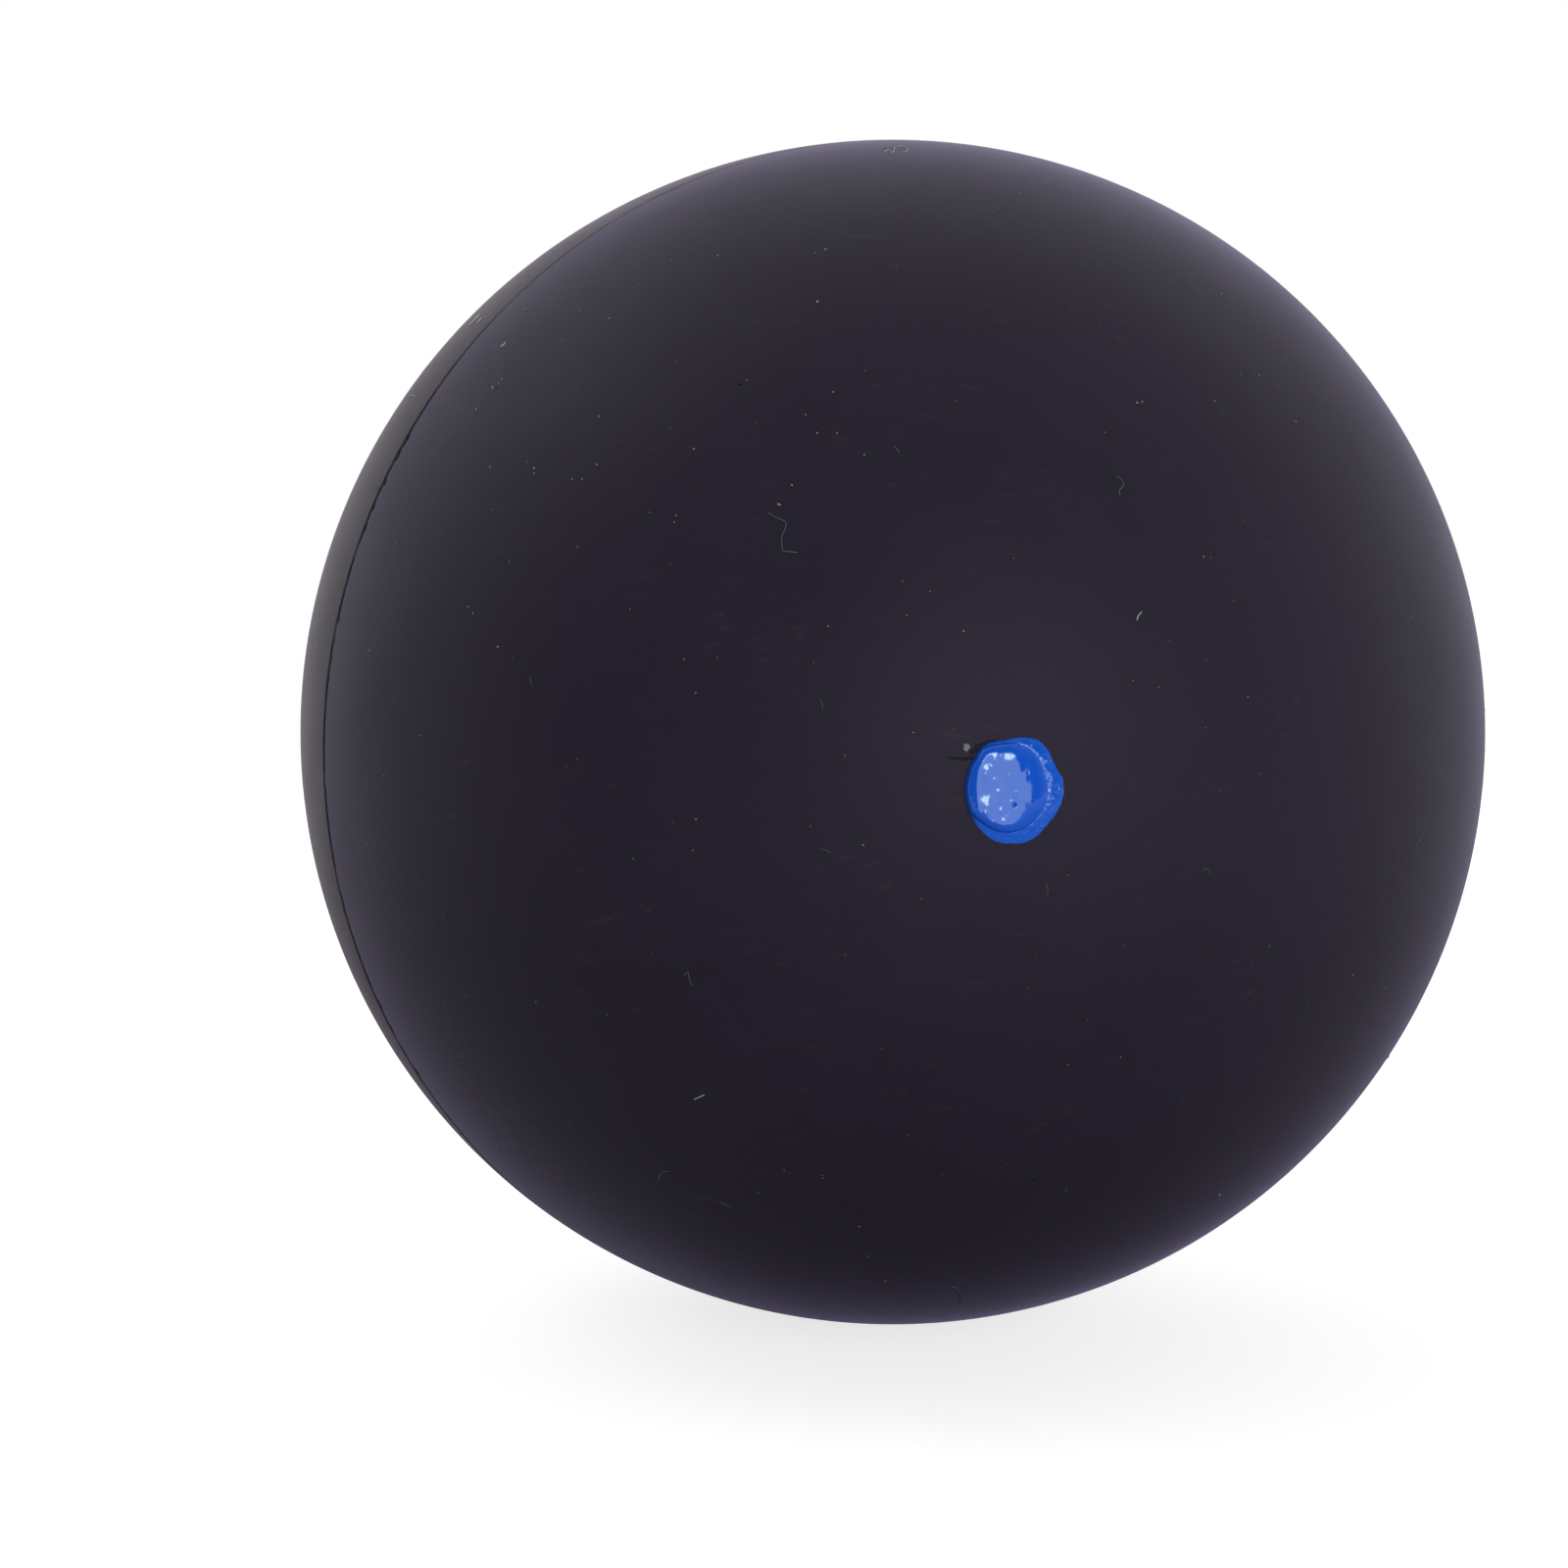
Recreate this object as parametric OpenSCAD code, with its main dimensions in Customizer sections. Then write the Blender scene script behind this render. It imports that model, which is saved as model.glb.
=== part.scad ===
// Squash ball: two bonded rubber half shells with one raised paint dot.
// The origin is the ball's centre. The seam lies in the XZ plane, and the
// front half with its dot faces -Y.

/* [Ball] */
// Outer diameter of the ball
ball_d = 40; // [39.5:0.1:45]
// Thickness of the rubber wall
wall_t = 5.2; // [4.2:0.1:6.4]

/* [Seam] */
// Thickness of the cured adhesive between the two flat edges
bond_t = 0.2; // [0.1:0.05:0.4]
// Width of the bevel on the outer rim of each half
rim_bevel_w = 0.12; // [0.05:0.01:0.3]
// How far the adhesive's outer edge lies below the foot of the bevels
bond_recess = 0.08; // [0.02:0.01:0.3]
// Radius of the bead of adhesive squeezed out into the hollow
bead_r = 0.6; // [0.4:0.05:1]

/* [Paint dot] */
// Angle of the dot from the front pole towards +X
dot_side_angle = -10.9; // [-40:0.1:40]
// Angle of the dot above the front pole
dot_rise_angle = 1.3; // [-40:0.1:40]
// Radius of the thick drop of paint, across its narrow way
drop_r = 1.3; // [0.9:0.01:1.8]
// How much taller than wide both layers of paint are
dot_stretch = 0.16; // [0.04:0.01:0.6]
// Height of the drop above the base coat
drop_h = 0.26; // [0.2:0.01:0.4]
// Radius of the drop's rounded shoulder
drop_shoulder_r = 0.2; // [0.1:0.01:0.2]
// Thickness of the base coat
base_coat_t = 0.1; // [0.06:0.01:0.16]
// Width of the base coat past the drop at its narrowest
skirt_narrow_w = 0.03; // [0.02:0.01:0.2]
// Width of the base coat past the drop at its widest
skirt_wide_w = 0.46; // [0.3:0.01:1]
// Direction of the widest skirt round the dot, counter-clockwise from +X
skirt_angle = -24; // [-180:1:180]

/* [Hidden] */
$fn = 180;
overrun = 1;
ball_r = ball_d / 2;
cavity_r = ball_r - wall_t;
// Where the bevel starts on the flat edge of each half
rim_r = ball_r - rim_bevel_w;
bond_outer_r = rim_r - bond_recess;
// The film of adhesive ends inside its own bead
bond_inner_r = cavity_r - bead_r / 2;
// The paint follows from the drop and the two widths of the skirt
base_coat_r = drop_r + (skirt_narrow_w + skirt_wide_w) / 2;
drop_shift = (skirt_wide_w - skirt_narrow_w) / 2;
base_coat_top_r = ball_r + base_coat_t;
drop_top_z = base_coat_top_r + drop_h;

// One half, with its pole on +Z and its flat edge half a bond above the origin
module half_shell() {
    cone_h = ball_r + overrun;
    difference() {
        intersection() {
            sphere(r = ball_r);
            translate([0, 0, bond_t / 2])
                cylinder(h = cone_h, r1 = rim_r, r2 = rim_r + cone_h);
        }
        sphere(r = cavity_r);
    }
}

module front_half_shell() {
    color([0.15, 0.14, 0.17])
        rotate([90, 0, 0])
            half_shell();
}

module rear_half_shell() {
    color([0.18, 0.17, 0.2])
        rotate([-90, 0, 0])
            half_shell();
}

// The film between the edges, and the bead that seats on the wall of the hollow
module seam_adhesive() {
    color([0.09, 0.08, 0.09])
        rotate([90, 0, 0]) {
            difference() {
                cylinder(h = bond_t, r = bond_outer_r, center = true);
                cylinder(h = bond_t + 2 * overrun, r = bond_inner_r, center = true);
            }
            intersection() {
                sphere(r = cavity_r);
                rotate_extrude()
                    translate([cavity_r, 0])
                        circle(r = bead_r);
            }
        }
}

// A shape drawn twice, above and below the middle of the dot, to make it oval
module stretched() {
    for (side = [-1, 1])
        translate([0, side * dot_stretch / 2, 0])
            children();
}

// Turns +Z to the middle of the dot, with X to the right and Y up
module at_dot() {
    rotate([0, 0, dot_side_angle])
        rotate([90 - dot_rise_angle, 0, 0])
            children();
}

module dot_base_coat() {
    color([0.04, 0.22, 0.72])
        difference() {
            intersection() {
                sphere(r = base_coat_top_r);
                at_dot()
                    stretched()
                        cylinder(h = base_coat_top_r + overrun, r = base_coat_r);
            }
            sphere(r = ball_r);
        }
}

// A flat-topped drop with a round shoulder, standing on the base coat
module dot_top_drop() {
    shoulder_z = drop_top_z - drop_shoulder_r;
    flat_r = drop_r - drop_shoulder_r;
    drop_x = -drop_shift * cos(skirt_angle);
    drop_y = -drop_shift * sin(skirt_angle);
    color([0.1, 0.32, 0.86])
        at_dot()
            difference() {
                translate([drop_x, drop_y, 0])
                    stretched() {
                        cylinder(h = shoulder_z, r = drop_r);
                        cylinder(h = drop_top_z, r = flat_r);
                        translate([0, 0, shoulder_z])
                            rotate_extrude()
                                translate([flat_r, 0])
                                    circle(r = drop_shoulder_r);
                    }
                sphere(r = base_coat_top_r);
            }
}

front_half_shell();
rear_half_shell();
seam_adhesive();
dot_base_coat();
dot_top_drop();
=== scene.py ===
"""The looks of a squash ball: two dusty rubber half shells, their bonded seam and a raised blue dot."""
import math
import random

import bpy
from mathutils import Matrix, Vector, noise


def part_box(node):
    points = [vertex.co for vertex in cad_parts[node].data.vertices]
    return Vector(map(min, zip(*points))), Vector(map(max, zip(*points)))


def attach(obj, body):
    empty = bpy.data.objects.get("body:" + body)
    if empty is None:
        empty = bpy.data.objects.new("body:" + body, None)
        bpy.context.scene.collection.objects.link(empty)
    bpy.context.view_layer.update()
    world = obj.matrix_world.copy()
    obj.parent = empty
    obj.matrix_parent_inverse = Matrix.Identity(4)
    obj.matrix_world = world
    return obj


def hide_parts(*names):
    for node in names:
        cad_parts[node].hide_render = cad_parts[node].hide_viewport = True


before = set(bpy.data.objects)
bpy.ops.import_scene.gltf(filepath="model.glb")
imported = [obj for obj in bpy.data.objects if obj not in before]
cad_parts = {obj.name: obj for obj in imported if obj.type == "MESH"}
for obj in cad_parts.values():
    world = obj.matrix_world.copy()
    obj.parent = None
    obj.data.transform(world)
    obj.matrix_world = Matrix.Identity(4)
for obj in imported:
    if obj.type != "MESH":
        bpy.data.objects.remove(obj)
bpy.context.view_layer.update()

MM = 0.001

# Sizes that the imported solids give
rear_low, rear_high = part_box("rear_half_shell")
bond_low, bond_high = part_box("seam_adhesive")
ball_r = rear_high[1]
face_gap = rear_low[1]
bead_r = (bond_high[1] - bond_low[1]) / 2

# Sizes that a box can't give, the same as the solids have
WALL = 5.2 * MM
BEVEL = 0.12 * MM
DOT_SIDE = math.radians(-10.9)
DOT_RISE = math.radians(1.3)
DOT_STRETCH = 0.16 * MM
DROP_R = 1.3 * MM
DROP_H = 0.26 * MM
BASE_COAT_R = 1.545 * MM
BASE_COAT_H = 0.1 * MM
DROP_SHIFT = 0.215 * MM
SKIRT_ANGLE = math.radians(-24)
cavity_r = ball_r - WALL

# The camera of the photograph, and where the ball lies in its frame, in the photograph's pixels
PHOTO_PX = 1600
BALL_CENTRE_PX = (911, 747)
BALL_RADIUS_PX = 604.5
CAMERA_AZIMUTH = math.radians(-21.6)
CAMERA_ELEVATION = math.radians(6.5)
CAMERA_DISTANCE = 200 * MM
SENSOR = 36
NEAREST_SEEN = 10 * MM
FARTHEST_SEEN = 20

toward_camera = Vector((
    math.sin(CAMERA_AZIMUTH) * math.cos(CAMERA_ELEVATION),
    -math.cos(CAMERA_AZIMUTH) * math.cos(CAMERA_ELEVATION),
    math.sin(CAMERA_ELEVATION),
))
camera_right = Vector((math.cos(CAMERA_AZIMUTH), math.sin(CAMERA_AZIMUTH), 0))
camera_up = toward_camera.cross(camera_right)
focal_px = BALL_RADIUS_PX / math.tan(math.asin(ball_r / CAMERA_DISTANCE))


def make_camera():
    """The camera faces the ball, and its lens is shifted because the ball lies off the frame's middle."""
    data = bpy.data.cameras.new("photo_camera")
    data.sensor_width = SENSOR
    data.lens = SENSOR * focal_px / PHOTO_PX
    data.shift_x = (PHOTO_PX / 2 - BALL_CENTRE_PX[0]) / PHOTO_PX
    data.shift_y = (BALL_CENTRE_PX[1] - PHOTO_PX / 2) / PHOTO_PX
    data.clip_start = NEAREST_SEEN
    data.clip_end = FARTHEST_SEEN
    camera = bpy.data.objects.new("photo_camera", data)
    camera.location = toward_camera * CAMERA_DISTANCE
    camera.rotation_mode = "QUATERNION"
    camera.rotation_quaternion = (-toward_camera).to_track_quat("-Z", "Y")
    bpy.context.scene.collection.objects.link(camera)
    bpy.context.scene.camera = camera


def on_ball(pixel):
    """The point of the ball that a pixel of the photograph shows."""
    x, y = pixel
    ray = camera_right * (x - BALL_CENTRE_PX[0]) - camera_up * (y - BALL_CENTRE_PX[1])
    ray = (ray - toward_camera * focal_px).normalized()
    eye = toward_camera * CAMERA_DISTANCE
    along = eye.dot(ray)
    left_over = along ** 2 - CAMERA_DISTANCE ** 2 + ball_r ** 2
    point = eye + ray * (-along - math.sqrt(max(left_over, 0)))
    return point.normalized() * ball_r


# Meshes made of rings


class Skin:
    """Points in rings, and the faces that join them into one closed mesh."""

    def __init__(self):
        self.points = []
        self.faces = []

    def ring(self, points):
        start = len(self.points)
        self.points.extend(points)
        return start, len(self.points) - start

    def band(self, upper, lower):
        """Joins two rings. One may have several times as many points as the other."""
        (a, count_a), (b, count_b) = upper, lower
        cells = min(count_a, count_b)
        step_a, step_b = count_a // cells, count_b // cells
        for i in range(cells):
            down = [b + (i * step_b + k) % count_b for k in range(step_b + 1)]
            back = [a + (i * step_a + k) % count_a for k in range(step_a, -1, -1)]
            self.faces.append(down + back)

    def cap(self, tip, ring, closes=False):
        """A fan from one point to a ring. closes turns the faces over for the last ring."""
        start, count = ring
        (top, _) = self.ring([tip])
        for i in range(count):
            pair = [start + i, start + (i + 1) % count]
            self.faces.append([top] + (pair[::-1] if closes else pair))

    def piece(self, name, material, turn=None):
        mesh = bpy.data.meshes.new(name)
        points = [turn @ p for p in self.points] if turn else self.points
        mesh.from_pydata(points, [], self.faces)
        mesh.polygons.foreach_set("use_smooth", [True] * len(mesh.polygons))
        mesh.materials.append(material)
        mesh.update()
        made = bpy.data.objects.new(name, mesh)
        bpy.context.scene.collection.objects.link(made)
        return made


def turns(count):
    return [2 * math.pi * i / count for i in range(count)]


def smooth_step(low, high, value):
    share = min(max((value - low) / (high - low), 0), 1)
    return share * share * (3 - 2 * share)


def bump_at(value, middle, width):
    return math.exp(-((value - middle) / width) ** 2)


# Half shells and the seam

AROUND = 360
AROUND_RIM = 1440
RIM_STARTS = math.radians(83)
POLE_RINGS = 70
RIM_RINGS = 16
BEVEL_RINGS = 5
HOLLOW_RINGS = 24
# How strongly the last rings before the bevel crowd toward it, and how hollow the bevel is
RIM_CROWDING = 2.2
BEVEL_CURVE = 1.4
# The heights, in radii, from where the seam closes to where it is nearly flush
SEAM_CLOSES = (0.5, 0.76)
# The bevel's wear: how long its nicks, bites and worn stretches are
NICK_LENGTH = 0.13 * MM
BITE_LENGTH = 0.4 * MM
WORN_STRETCH = 4 * MM
# Where in their noise worn stretches start and are whole, where bites start, and how they deepen
STRETCH_STARTS = (-0.2, 0.4)
BITE_STARTS = 0.08
BITE_POWER = 1.2
# How wide each makes the bevel, in widths of the solid's bevel
LEAST_WEAR = 0.13
EVEN_WEAR = 0.17
NICK_WEAR = 0.17
STRETCH_WEAR = 0.1
BITE_WEAR = 3.6
# How much of the wear and of the bites is missing where the seam is nearly flush
WEAR_LESS_AT_TOP = 0.93
BITES_LESS_AT_TOP = 0.6


def near_top(point):
    """One round the top of the ball, where the seam is nearly flush, and nothing lower down."""
    return smooth_step(*SEAM_CLOSES, point.normalized().z)


def rim_wear(angle, seed, turn):
    """How wide the bevel is at this angle round the seam, with the bites that trimming left."""
    around = Vector((math.cos(angle), math.sin(angle), 0)) * ball_r
    nicks = noise.noise(around / NICK_LENGTH + seed)
    stretch = smooth_step(*STRETCH_STARTS, noise.noise(around / WORN_STRETCH + seed * 2))
    bites = stretch * max(0, noise.noise(around / BITE_LENGTH - seed) - BITE_STARTS) ** BITE_POWER
    top = near_top(turn @ around)
    worn = max(LEAST_WEAR, EVEN_WEAR + NICK_WEAR * nicks + STRETCH_WEAR * stretch)
    worn = worn * (1 - WEAR_LESS_AT_TOP * top) + BITE_WEAR * bites * (1 - BITES_LESS_AT_TOP * top)
    return BEVEL * worn


def half_shell(name, material, turn, seed):
    """A hollow half with its pole on +Z, a nibbled bevel at the seam and a flat edge for the bond."""
    skin = Skin()
    rings = []
    for k in range(1, POLE_RINGS + 1):
        polar = RIM_STARTS * k / POLE_RINGS
        low, out = ball_r * math.cos(polar), ball_r * math.sin(polar)
        rings.append(skin.ring([Vector((out * math.cos(a), out * math.sin(a), low)) for a in turns(AROUND)]))
    wears = [rim_wear(a, seed, turn) for a in turns(AROUND_RIM)]
    start_z = ball_r * math.cos(RIM_STARTS)
    for k in range(1, RIM_RINGS + 1):
        share = 1 - (1 - k / (RIM_RINGS + 1)) ** RIM_CROWDING if k < RIM_RINGS else 1
        points = []
        for a, wear in zip(turns(AROUND_RIM), wears):
            z = start_z + (face_gap + wear - start_z) * share
            out = math.sqrt(ball_r ** 2 - z ** 2)
            points.append(Vector((out * math.cos(a), out * math.sin(a), z)))
        rings.append(skin.ring(points))
    for k in range(1, BEVEL_RINGS + 1):
        share = k / BEVEL_RINGS
        points = []
        for a, wear in zip(turns(AROUND_RIM), wears):
            z = face_gap + wear * (1 - share) ** BEVEL_CURVE
            out = math.sqrt(ball_r ** 2 - (face_gap + wear) ** 2) - wear * share ** BEVEL_CURVE
            points.append(Vector((out * math.cos(a), out * math.sin(a), z)))
        rings.append(skin.ring(points))
    for k in range(1, HOLLOW_RINGS):
        polar = math.acos(face_gap / cavity_r) * (1 - (k - 1) / (HOLLOW_RINGS - 1))
        low, out = cavity_r * math.cos(polar), cavity_r * math.sin(polar)
        rings.append(skin.ring([Vector((out * math.cos(a), out * math.sin(a), low)) for a in turns(AROUND)]))
    for upper, lower in zip(rings, rings[1:]):
        skin.band(upper, lower)
    skin.cap(Vector((0, 0, ball_r)), rings[0])
    skin.cap(Vector((0, 0, cavity_r)), rings[-1], closes=True)
    return skin.piece(name, material, turn)


GLUE_EDGE_STEPS = 12
BEAD_STEPS = 14
# How far the film lies below the ball's surface, and how deep the crack along it is
FILM_SUNK = 0.015 * MM
CRACK_DEPTH = 0.07 * MM
# How long the crack's bends, its small jags and its open stretches are
CRACK_BEND = 0.5 * MM
CRACK_JAG = 0.18 * MM
CRACK_STRETCH = 0.9 * MM
# Where in its noise the crack starts to open, and is open
CRACK_OPENS = (-0.45, 0.1)
# The crack's bends, jags, wander and width, in halves of the film's thickness
BEND_REACH = 1.1
JAG_REACH = 0.9
WANDER = 0.8
CRACK_WIDTH = 0.36
# How much of the crack and of the film's depth is missing where the seam is nearly flush
CRACK_LESS_AT_TOP = 0.97
SUNK_LESS_AT_TOP = 0.9


def seam_glue(material, turn):
    """The film between the flat edges, cracked where it shows in the groove, and the bead inside."""
    skin = Skin()
    profile = []
    for k in range(GLUE_EDGE_STEPS + 1):
        profile.append(("edge", 1 - 2 * k / GLUE_EDGE_STEPS))
    for k in range(BEAD_STEPS + 1):
        profile.append(("bead", math.pi * k / BEAD_STEPS))
    rings = []
    for part, at in profile:
        points = []
        for a in turns(AROUND_RIM):
            around = Vector((math.cos(a), math.sin(a), 0))
            if part == "edge":
                here = around * ball_r
                wander = BEND_REACH * noise.noise(here / CRACK_BEND)
                wander += JAG_REACH * noise.noise(here / CRACK_JAG + Vector((2, 9, 5)))
                opened = smooth_step(*CRACK_OPENS, noise.noise(here / CRACK_STRETCH + Vector((4, 4, 4))))
                closed = near_top(turn @ around)
                crack = CRACK_DEPTH * opened * (1 - CRACK_LESS_AT_TOP * closed)
                crack *= bump_at(at, WANDER * wander, CRACK_WIDTH)
                out = ball_r - FILM_SUNK * (1 - SUNK_LESS_AT_TOP * closed) - crack
                z = face_gap * at
            else:
                out = math.sqrt(cavity_r ** 2 - face_gap ** 2) - bead_r * math.sin(at)
                z = -math.cos(at) * (face_gap + (bead_r - face_gap) * math.sin(at))
            points.append(around * out + Vector((0, 0, z)))
        rings.append(skin.ring(points))
    for upper, lower in zip(rings, rings[1:] + rings[:1]):
        skin.band(upper, lower)
    return skin.piece("seam_glue", material, turn)


# Paint dot

at_dot = Matrix.Rotation(DOT_SIDE, 4, "Z") @ Matrix.Rotation(math.radians(90) - DOT_RISE, 4, "X")
DOT_AROUND = 288
DROP_RINGS = 84
COAT_RINGS = 60

# Where the base coat's outline swells or draws in: direction in degrees, how far in mm, width in degrees
COAT_LOBES = (
    (-8, 0.03, 16), (-45, -0.06, 16), (-75, 0.05, 14), (-106, 0.06, 18), (-172, -0.04, 26),
    (122, 0.06, 16), (98, -0.06, 14), (62, 0.08, 15), (31, -0.08, 12), (8, 0.02, 9),
)

# Where the drop's outline does, the same way
DROP_LOBES = ((60, 0.05, 28), (262, 0.03, 30), (20, -0.05, 18))
# How far the outlines of the coat and of the drop are ragged, and how long their wide and fine rags are
COAT_RAGGED = 0.022 * MM
DROP_RAGGED = 0.01 * MM
WIDE_RAG = 0.22 * MM
FINE_RAG = 0.07 * MM

# Lumps and broken bubbles on the drop: across and up from the middle of the dot, radius and height, in mm
LUMPS = (
    (-0.18, 0.88, 0.30, 0.034), (-0.90, -0.48, 0.28, 0.036), (-0.98, -0.66, 0.07, 0.015),
    (-0.88, 0.62, 0.17, 0.020), (-0.98, 0.52, 0.07, 0.008), (-0.24, 0.46, 0.08, 0.008),
    (-0.06, 0.50, 0.06, 0.006), (-0.52, 1.06, 0.10, 0.014), (-0.66, 0.36, 0.08, 0.009),
    (-0.56, -0.02, 0.08, 0.008), (-0.46, -0.58, 0.08, 0.013), (-0.37, -0.93, 0.14, 0.020),
    (-0.42, -1.13, 0.09, 0.019), (-0.71, -0.95, 0.07, 0.015), (0.02, -0.05, 0.07, 0.008),
    (0.30, 0.42, 0.08, 0.009), (-0.16, -0.34, 0.06, 0.007), (-0.20, -1.02, 0.08, 0.012),
    (-0.68, 0.94, 0.07, 0.009), (-0.02, 1.10, 0.07, 0.010), (-0.46, 1.16, 0.06, 0.010),
    (-0.68, 1.06, 0.06, 0.009),
)
# How much longer a lump is on its lower side than on its upper
LUMP_TAIL = 2.6
BUBBLES = ((-0.05, -0.43, 0.045, 0.04), (0.38, 0.55, 0.035, 0.02), (-1.00, -0.76, 0.035, 0.018))
# Grains on the rim of the base coat, the same way
COAT_GRAINS = (
    (0.72, 0.80, 0.06, 0.035), (1.06, 0.88, 0.07, 0.03), (1.45, -0.03, 0.08, 0.03),
    (1.28, -0.30, 0.06, 0.02), (0.72, -1.30, 0.06, 0.03), (0.88, -1.17, 0.05, 0.025),
    (1.18, 0.42, 0.07, 0.02), (0.30, -1.38, 0.08, 0.02), (-0.32, -1.42, 0.06, 0.02),
    (0.55, 1.42, 0.07, 0.025), (1.33, -0.72, 0.06, 0.02), (-0.10, 1.57, 0.05, 0.02),
)
# Past that many radii a lump or bubble has no height left
BUMP_REACH = 3
# Where the grains fade out, and where the coat turns down into the rubber, as shares of its radius
GRAINS_FADE = 0.08
COAT_TURNS_DOWN = 0.99
# The coat's height: how much it falls from the foot of the drop, what is left at its edge, and how far
# streaks and ripples change that, all in heights of the solid's coat
COAT_FALL = 0.85
COAT_RIM = 0.28
STREAK_RISE = 0.12
RIPPLE_RISE = 0.14
RIPPLE_SIZE = 0.12 * MM
# How often the streaks change from the drop to the edge, and round the dot
STREAKS_OUT = 2.6
STREAKS_ROUND = 3
# How sharply the coat's edge rounds off
COAT_EDGE_ROUND = 12
# The coat stays level farther out on one side: direction and width in degrees, and by how much
LEVEL_SIDE = -5
LEVEL_WIDTH = 38
LEVEL_MORE = 0.75
# The drop's foot lies inside the coat, this far above the rubber
DROP_SEAT = 0.05 * MM
# How far the drop reaches past the coat on the left, between which degrees this comes and goes,
# and in how many steps that reach is found
COAT_COVERED = 0.012 * MM
LEFT_STARTS = (92, 125)
LEFT_ENDS = (235, 205)
REACH_STEPS = 4
# The drop's top stays that far under the solid's, which its lumps nearly reach
TOP_CLEARANCE = 0.035 * MM
TOP_WAVE = 0.005 * MM
TOP_WAVE_SIZE = 0.55 * MM
TOP_TILT = math.tan(math.radians(1.5))
# How far the paint is sunk into the rubber, and how many times as far the drop's underside is
PAINT_SINK = 0.012 * MM
DROP_SINKS = 1.5
# The rings of each layer's underside, as shares of its radius
UNDERSIDE_SHARES = (0.999, 0.7, 0.35)
# Kept from dividing by nothing
TINY = 1e-9
drop_middle = Vector((-DROP_SHIFT * math.cos(SKIRT_ANGLE), -DROP_SHIFT * math.sin(SKIRT_ANGLE), 0))


def off_from(angle, direction):
    """How many degrees an angle lies from a direction, from -180 to 180."""
    return (math.degrees(angle) - direction + 180) % 360 - 180


def ragged_edge(angle, radius, depth, seed):
    around = Vector((math.cos(angle), math.sin(angle), 0)) * radius
    return depth * (noise.noise(around / WIDE_RAG + seed) + 0.5 * noise.noise(around / FINE_RAG + seed))


def coat_edge(angle):
    edge = BASE_COAT_R + DOT_STRETCH / 2 * math.sin(angle) ** 2
    for middle, far, width in COAT_LOBES:
        edge += far * MM * bump_at(off_from(angle, middle), 0, width)
    return edge + ragged_edge(angle, BASE_COAT_R, COAT_RAGGED, Vector((3, 1, 4)))


def over_the_left(angle):
    """One on the dot's left, where the drop runs over the coat's edge, and nothing where it stands on it."""
    turn = math.degrees(angle) % 360
    return smooth_step(*LEFT_STARTS, turn) * smooth_step(*LEFT_ENDS, turn)


def drop_edge(angle):
    edge = DROP_R + DOT_STRETCH / 2 * math.sin(angle) ** 2
    turn = math.degrees(angle)
    edge += sum(far * MM * bump_at(turn, middle, width) for middle, far, width in DROP_LOBES)
    edge += ragged_edge(angle, DROP_R, DROP_RAGGED, Vector((1, 5, 9)))
    reach = edge
    for _ in range(REACH_STEPS):
        end = drop_middle + Vector((math.cos(angle), math.sin(angle), 0)) * reach
        reach += coat_edge(math.atan2(end.y, end.x)) - end.length
    return edge + (reach + COAT_COVERED - edge) * over_the_left(angle)


def on_sphere(x, y, height):
    """A point over the dot's plane, that far above the ball's surface."""
    return Vector((x, y, math.sqrt((ball_r + height) ** 2 - x * x - y * y)))


def swell(x, y, features, tail=1):
    """The height that lumps give a surface. tail makes their lower side that much longer."""
    height = 0
    for across, up, radius, tall in features:
        rise = y - up * MM
        off = math.hypot(x - across * MM, rise / tail if rise < 0 else rise)
        if off < BUMP_REACH * radius * MM:
            height += tall * MM * bump_at(off, 0, radius * MM)
    return height


def crescent_share(x, y, share, angle):
    """How far out a point lies between the foot of the drop, at 0, and the edge of the coat, at 1."""
    off = Vector((x, y, 0)) - drop_middle
    past = off.length - drop_edge(math.atan2(off.y, off.x))
    left = coat_edge(angle) * (1 - share)
    return min(max(past / (past + left + TINY), 0), 1)


def coat_top(x, y, share, angle):
    """Thin paint that falls from the foot of the drop to a rounded edge."""
    past = crescent_share(x, y, share, angle)
    around = (STREAKS_ROUND * math.cos(angle), STREAKS_ROUND * math.sin(angle))
    streaks = noise.noise(Vector((STREAKS_OUT * past, *around)))
    level = LEVEL_MORE * bump_at(off_from(angle, LEVEL_SIDE), 0, LEVEL_WIDTH)
    fall = COAT_FALL * (1 - past ** (1 + level))
    ripple = noise.noise(Vector((x, y, 3 * MM)) / RIPPLE_SIZE)
    thick = COAT_RIM + STREAK_RISE * streaks + RIPPLE_RISE * ripple
    height = BASE_COAT_H * (fall + thick * math.sqrt(max(1 - share ** COAT_EDGE_ROUND, 0)))
    height += swell(x, y, COAT_GRAINS) * smooth_step(0, GRAINS_FADE, 1 - share)
    return on_sphere(x, y, height - PAINT_SINK * smooth_step(COAT_TURNS_DOWN, 1, share))


# The drop's shoulder toward each direction: degrees, width in mm, and how upright its foot is
SHOULDERS = (
    (0, 1.0, 0.7), (45, 0.95, 0.74), (90, 0.32, 0.6), (135, 0.22, 0.5), (180, 0.36, 0.46), (225, 0.22, 0.46),
    (270, 0.3, 0.5), (315, 0.8, 0.6), (360, 1.0, 0.7),
)
# Where on the shoulder's rise the lumps start and are whole
LUMPS_SHOWN = (0.3, 0.9)


def shoulder_at(angle):
    turn = math.degrees(angle) % 360
    for (low, *first), (high, *second) in zip(SHOULDERS, SHOULDERS[1:]):
        if turn <= high:
            share = smooth_step(low, high, turn)
            return [a + (b - a) * share for a, b in zip(first, second)]


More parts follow.
